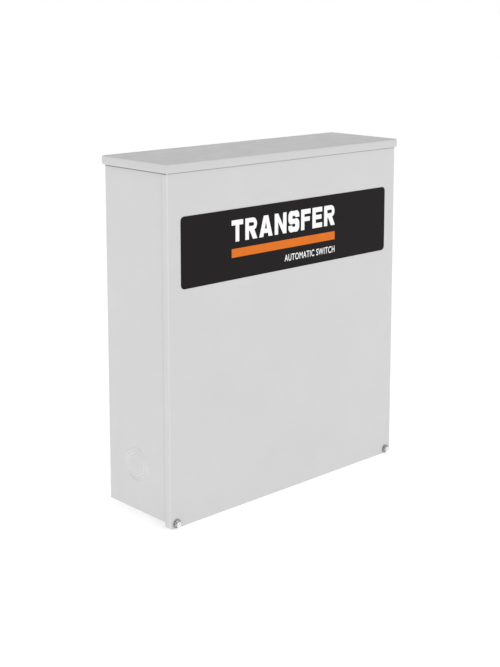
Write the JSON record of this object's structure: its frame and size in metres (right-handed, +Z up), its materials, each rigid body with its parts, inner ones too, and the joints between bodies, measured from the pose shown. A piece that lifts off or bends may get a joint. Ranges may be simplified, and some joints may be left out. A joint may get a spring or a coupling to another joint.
{
  "type": "automatic transfer switch",
  "caption": "Wall-mounted automatic transfer switch: a shallow rain-tight steel box with a hooked front cover, holding a two-coil contact mechanism, control relay, fuses and terminals.",
  "frame": {"origin": "centre of the four wall bolt holes, on the wall face", "axes": "+X right seen from the front, +Y into the wall, +Z up"},
  "size_m": [0.486, 0.1506, 0.531],
  "materials": {
    "enclosure_paint": "light grey polyester powder coat with fine orange peel",
    "inner_paint": "pale grey powder coat",
    "label_film": "black printed polyester film, satin",
    "diagram_paper": "printed label paper",
    "zinc_steel": "bright zinc plated steel",
    "steel": "plain machined steel",
    "galvanised": "galvanised sheet",
    "copper": "tinned and bare copper",
    "aluminium": "extruded, tin plated",
    "black_moulding": "glass-filled thermoset moulding",
    "red_grip": "dipped vinyl grip",
    "fibre": "red-brown vulcanised fibre",
    "winding": "enamelled copper wire",
    "white_moulding": "off-white nylon",
    "grey_moulding": "grey polyamide",
    "clear_moulding": "clear polycarbonate",
    "fuse_ceramic": "glazed ceramic with plated caps",
    "yellow_wire": "PVC insulation",
    "black_wire": "PVC insulation",
    "red_wire": "PVC insulation",
    "blue_wire": "PVC insulation"
  },
  "bodies": {
    "enclosure": {"arc_cheeks": "fibre", "arc_plates": "steel", "bottom_panel": "enclosure_paint", "coil_bobbins": "white_moulding", "coil_frames": "steel", "coil_leads": "black_wire", "coil_windings": "winding", "control_terminals": "black_moulding", "control_wires": "blue_wire", "cover_nuts": "zinc_steel", "din_rail": "galvanised", "drive_plates": "zinc_steel", "enclosure_body": "enclosure_paint", "fixed_contacts": "copper", "fuse_bases": "grey_moulding", "ground_bar": "aluminium", "ground_screws": "zinc_steel", "header_rail": "enclosure_paint", "limit_switches": "black_moulding", "load_bars": "copper", "load_braids": "copper", "load_wire": "red_wire", "lug_screws": "steel", "mechanism_base": "black_moulding", "neutral_bar": "aluminium", "neutral_insulators": "fibre", "neutral_screws": "steel", "panel_nuts": "zinc_steel", "panel_studs": "zinc_steel", "rain_hood": "enclosure_paint", "relay_case": "clear_moulding", "relay_core": "white_moulding", "relay_socket": "grey_moulding", "sense_wires": "yellow_wire", "spring_post": "zinc_steel", "sub_panel": "inner_paint", "terminal_lugs": "aluminium", "terminal_screws": "zinc_steel"},
    "cover": {"front_cover": "enclosure_paint", "cover_label": "label_film", "wiring_diagram": "diagram_paper"},
    "screw_left": {"cover_screw_left": "zinc_steel"},
    "screw_right": {"cover_screw_right": "zinc_steel"},
    "shaft": {"crossbar": "black_moulding", "moving_contacts": "copper", "transfer_shaft": "steel", "crank": "steel", "toggle_arm": "zinc_steel", "manual_handle": "zinc_steel", "handle_grip": "red_grip"},
    "armature": {"armature": "steel"},
    "toggle_spring": {"toggle_spring": "steel"},
    "utility_lever": {"utility_switch_lever": "steel"},
    "generator_lever": {"generator_switch_lever": "steel"},
    "fuse_carrier_1": {"fuse_carrier_1": "grey_moulding", "cartridge_fuse_1": "fuse_ceramic"},
    "fuse_carrier_2": {"fuse_carrier_2": "grey_moulding", "cartridge_fuse_2": "fuse_ceramic"},
    "fuse_carrier_3": {"fuse_carrier_3": "grey_moulding", "cartridge_fuse_3": "fuse_ceramic"}
  },
  "joints": [
    {"name": "cover_hinge", "type": "hinge", "parent": "enclosure", "child": "cover", "pos_m": [0, -0.1406, 0.25], "axis": [-1, 0, 0], "range_deg": [0, 60]},
    {"name": "screw_left_turn", "type": "hinge", "parent": "cover", "child": "screw_left", "pos_m": [-0.2275, -0.145, -0.257], "axis": [0, -1, 0], "continuous": true},
    {"name": "screw_right_turn", "type": "hinge", "parent": "cover", "child": "screw_right", "pos_m": [0.2275, -0.145, -0.257], "axis": [0, -1, 0], "continuous": true},
    {"name": "transfer_turn", "type": "hinge", "parent": "enclosure", "child": "shaft", "pos_m": [0, -0.058, 0], "axis": [1, 0, 0], "range_deg": [0, 40], "deforming": ["load_braids"]},
    {"name": "armature_slide", "type": "slide", "parent": "enclosure", "child": "armature", "axis": [0, 0, 1], "range_m": [-0.01642, 0]},
    {"name": "spring_swing", "type": "hinge", "parent": "enclosure", "child": "toggle_spring", "pos_m": [0.118, -0.028, 0], "axis": [1, 0, 0], "range_deg": [0, 17.77]},
    {"name": "utility_lever_turn", "type": "hinge", "parent": "enclosure", "child": "utility_lever", "pos_m": [0.113, -0.104, 0.01401], "axis": [1, 0, 0], "range_deg": [-12.01, 0]},
    {"name": "generator_lever_turn", "type": "hinge", "parent": "enclosure", "child": "generator_lever", "pos_m": [0.113, -0.104, -0.01401], "axis": [1, 0, 0], "range_deg": [-12.01, 0]},
    {"name": "fuse_1_swing", "type": "hinge", "parent": "enclosure", "child": "fuse_carrier_1", "pos_m": [0.139, -0.0655, 0.102], "axis": [1, 0, 0], "range_deg": [0, 70]},
    {"name": "fuse_2_swing", "type": "hinge", "parent": "enclosure", "child": "fuse_carrier_2", "pos_m": [0.157, -0.0655, 0.102], "axis": [1, 0, 0], "range_deg": [0, 70]},
    {"name": "fuse_3_swing", "type": "hinge", "parent": "enclosure", "child": "fuse_carrier_3", "pos_m": [0.175, -0.0655, 0.102], "axis": [1, 0, 0], "range_deg": [0, 70]}
  ],
  "couplings": [
    {"joint": "transfer_turn", "follows": "armature_slide", "rad_per_m": -42.525},
    {"joint": "spring_swing", "follows": "armature_slide", "rad_per_m": -18.876},
    {"joint": "utility_lever_turn", "follows": "armature_slide", "rad_per_m": 12.758},
    {"joint": "generator_lever_turn", "follows": "armature_slide", "rad_per_m": 12.758}
  ]
}
